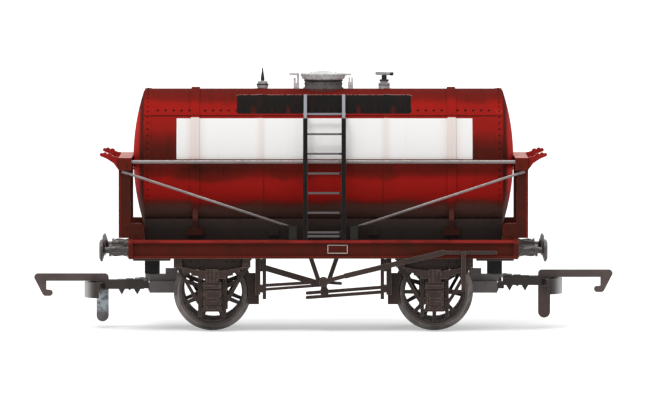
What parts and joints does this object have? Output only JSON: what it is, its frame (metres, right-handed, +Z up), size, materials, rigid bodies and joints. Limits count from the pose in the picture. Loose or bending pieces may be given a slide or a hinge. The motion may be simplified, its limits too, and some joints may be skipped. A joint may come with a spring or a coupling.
{
  "type": "model railway tank wagon",
  "caption": "Small-scale model of a riveted railway tank wagon: tank held by bands and end frames on a spoked-wheel underframe, with ladder, manhole, buffers and hook couplings.",
  "frame": {"origin": "on the floor under the middle of the wagon", "axes": "+X along the wagon to its front, +Y to its left, +Z up"},
  "size_m": [0.1048, 0.0309, 0.0472],
  "materials": {
    "tank_red": "satin weathered red",
    "frame_red": "satin weathered red",
    "bracket_red": "satin bright red",
    "underframe_brown": "matte dark brown",
    "fitting_silver": "matte silver paint",
    "ladder_black": "matte black, pale at the top",
    "rod_steel": "dull drawn wire",
    "buffer_metal": "dark worn metal",
    "coupling_black": "matte black",
    "pocket_grey": "matte dark grey",
    "hook_metal": "dark brown coated metal",
    "wheel_metal": "dark brown with worn treads",
    "axle_steel": "turned steel"
  },
  "bodies": {
    "wagon": {"underframe_floor": "underframe_brown", "solebar_left": "frame_red", "solebar_right": "frame_red", "headstock_front": "frame_red", "headstock_rear": "frame_red", "tank_barrel": "tank_red", "tank_bands": "tank_red", "tank_cradle": "underframe_brown", "manhole_neck": "fitting_silver", "manhole_lid": "fitting_silver", "lid_clamps": "fitting_silver", "vent_valve": "fitting_silver", "relief_valve": "fitting_silver", "ladder_left": "ladder_black", "ladder_right": "ladder_black", "end_post_front_left": "frame_red", "end_post_front_right": "frame_red", "end_post_rear_left": "frame_red", "end_post_rear_right": "frame_red", "end_beam_front": "bracket_red", "end_beam_rear": "bracket_red", "anchor_brackets_front": "bracket_red", "anchor_brackets_rear": "bracket_red", "tie_rod_left": "rod_steel", "tie_rod_right": "rod_steel", "diagonal_rods_left": "rod_steel", "diagonal_rods_right": "rod_steel", "w_iron_front_left": "underframe_brown", "w_iron_front_right": "underframe_brown", "w_iron_rear_left": "underframe_brown", "w_iron_rear_right": "underframe_brown", "springs_left": "underframe_brown", "springs_right": "underframe_brown", "axleboxes_left": "underframe_brown", "axleboxes_right": "underframe_brown", "buffers_front": "buffer_metal", "buffers_rear": "buffer_metal", "brake_hanger": "underframe_brown", "brake_lever": "underframe_brown", "brake_rigging": "underframe_brown", "lever_guard": "underframe_brown", "coupling_mounts": "coupling_black"},
    "wheelset_front": {"axle_front": "axle_steel", "wheel_front_left": "wheel_metal", "wheel_front_right": "wheel_metal"},
    "coupling_front": {"coupling_pocket_front": "pocket_grey", "coupling_bar_front": "coupling_black"},
    "hook_front": {"coupling_hook_front": "hook_metal"},
    "wheelset_rear": {"axle_rear": "axle_steel", "wheel_rear_left": "wheel_metal", "wheel_rear_right": "wheel_metal"},
    "coupling_rear": {"coupling_pocket_rear": "pocket_grey", "coupling_bar_rear": "coupling_black"},
    "hook_rear": {"coupling_hook_rear": "hook_metal"}
  },
  "joints": [
    {"name": "wheelset_front_spin", "type": "hinge", "parent": "wagon", "child": "wheelset_front", "pos_m": [0.02, 0, 0.007], "axis": [0, 1, 0], "continuous": true},
    {"name": "coupling_front_swing", "type": "hinge", "parent": "wagon", "child": "coupling_front", "pos_m": [0.031, 0, 0.0092], "axis": [0, 0, 1], "range_deg": [-10, 10]},
    {"name": "hook_front_lift", "type": "hinge", "parent": "coupling_front", "child": "hook_front", "pos_m": [0.04, 0, 0.0083], "axis": [0, -1, 0], "range_deg": [0, 25]},
    {"name": "wheelset_rear_spin", "type": "hinge", "parent": "wagon", "child": "wheelset_rear", "pos_m": [-0.02, 0, 0.007], "axis": [0, 1, 0], "continuous": true},
    {"name": "coupling_rear_swing", "type": "hinge", "parent": "wagon", "child": "coupling_rear", "pos_m": [-0.031, 0, 0.0092], "axis": [0, 0, 1], "range_deg": [-10, 10]},
    {"name": "hook_rear_lift", "type": "hinge", "parent": "coupling_rear", "child": "hook_rear", "pos_m": [-0.04, 0, 0.0076], "axis": [0, 1, 0], "range_deg": [0, 25]}
  ]
}
